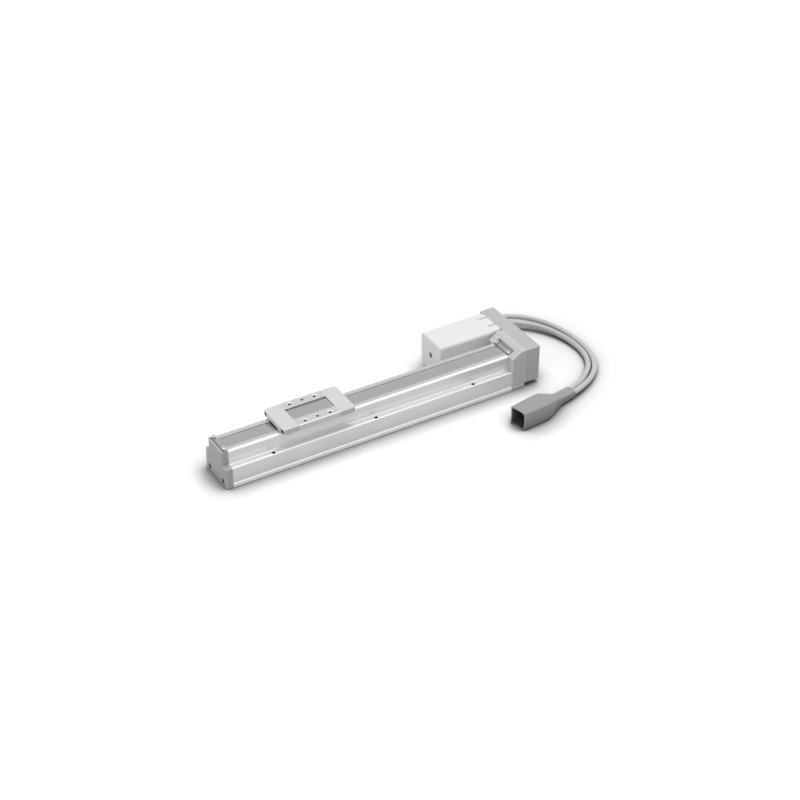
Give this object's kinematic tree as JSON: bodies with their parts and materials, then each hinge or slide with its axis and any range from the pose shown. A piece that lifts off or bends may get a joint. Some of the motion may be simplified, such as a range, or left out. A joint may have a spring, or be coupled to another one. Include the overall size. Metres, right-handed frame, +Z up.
{
  "type": "electric slide actuator",
  "caption": "Electric slide: a screw-driven table on a stepped aluminium rail under a steel seal band, with a belt-coupled motor alongside and a short cable ending in a connector.",
  "frame": {"origin": "centre of the rail's bottom face", "axes": "+X along the rail to the drive end, +Y to the motor's side, +Z up out of the table's face"},
  "size_m": [0.3856, 0.1678, 0.04],
  "materials": {
    "rail_aluminium": "satin",
    "cast_aluminium": "satin",
    "table_aluminium": "satin",
    "cover_plastic": "satin",
    "band_steel": "brushed",
    "bearing_steel": "polished",
    "screw_steel": "satin",
    "motor_paint": "satin",
    "dark_plastic": "matte",
    "black_rubber": "matte",
    "cable_jacket": "satin",
    "shroud_plastic": "satin",
    "contact_brass": "polished"
  },
  "bodies": {
    "base": {"base_rail": "rail_aluminium", "guide_rail": "bearing_steel", "end_cap": "cast_aluminium", "end_cap_screws": "screw_steel", "end_bearing": "bearing_steel", "left_band_clamp": "band_steel", "right_band_clamp": "band_steel", "band_clamp_screws": "screw_steel", "seal_band": "band_steel", "drive_block": "cast_aluminium", "drive_block_screws": "screw_steel", "fixed_bearings": "bearing_steel", "bearing_retainer": "bearing_steel", "end_bumpers": "black_rubber", "pulley_cover": "cast_aluminium", "pulley_cover_screws": "screw_steel", "drive_belt": "black_rubber", "motor_body": "motor_paint", "motor_encoder": "dark_plastic", "motor_screws": "screw_steel", "motor_cover": "cover_plastic", "cable_grommet": "black_rubber", "motor_cable": "cable_jacket", "encoder_cable": "cable_jacket", "connector_shell": "shroud_plastic", "connector_insert": "dark_plastic", "connector_contacts": "contact_brass"},
    "table": {"table_plate": "table_aluminium", "left_table_cover": "table_aluminium", "right_table_cover": "table_aluminium", "table_cover_screws": "screw_steel", "band_guides": "dark_plastic", "saddle_block": "rail_aluminium", "saddle_screws": "screw_steel", "guide_block": "bearing_steel", "guide_block_caps": "dark_plastic", "ball_nut": "bearing_steel"},
    "screw": {"ball_screw": "bearing_steel", "screw_lock_nut": "screw_steel", "screw_pulley": "table_aluminium"},
    "rotor": {"motor_shaft": "bearing_steel", "motor_pulley": "table_aluminium"}
  },
  "joints": [
    {"name": "table_slide", "type": "slide", "parent": "base", "child": "table", "axis": [1, 0, 0], "range_m": [-0.0445, 0.1555], "deforming": ["seal_band"]},
    {"name": "screw_spin", "type": "hinge", "parent": "base", "child": "screw", "pos_m": [0, 0, 0.0225], "axis": [1, 0, 0], "range_deg": [-5600, 1604]},
    {"name": "motor_spin", "type": "hinge", "parent": "base", "child": "rotor", "pos_m": [0, 0.039, 0.0225], "axis": [1, 0, 0], "range_deg": [-5600, 1604]}
  ],
  "couplings": [
    {"joint": "screw_spin", "follows": "table_slide", "rad_per_m": -628.32},
    {"joint": "motor_spin", "follows": "table_slide", "rad_per_m": -628.32}
  ]
}
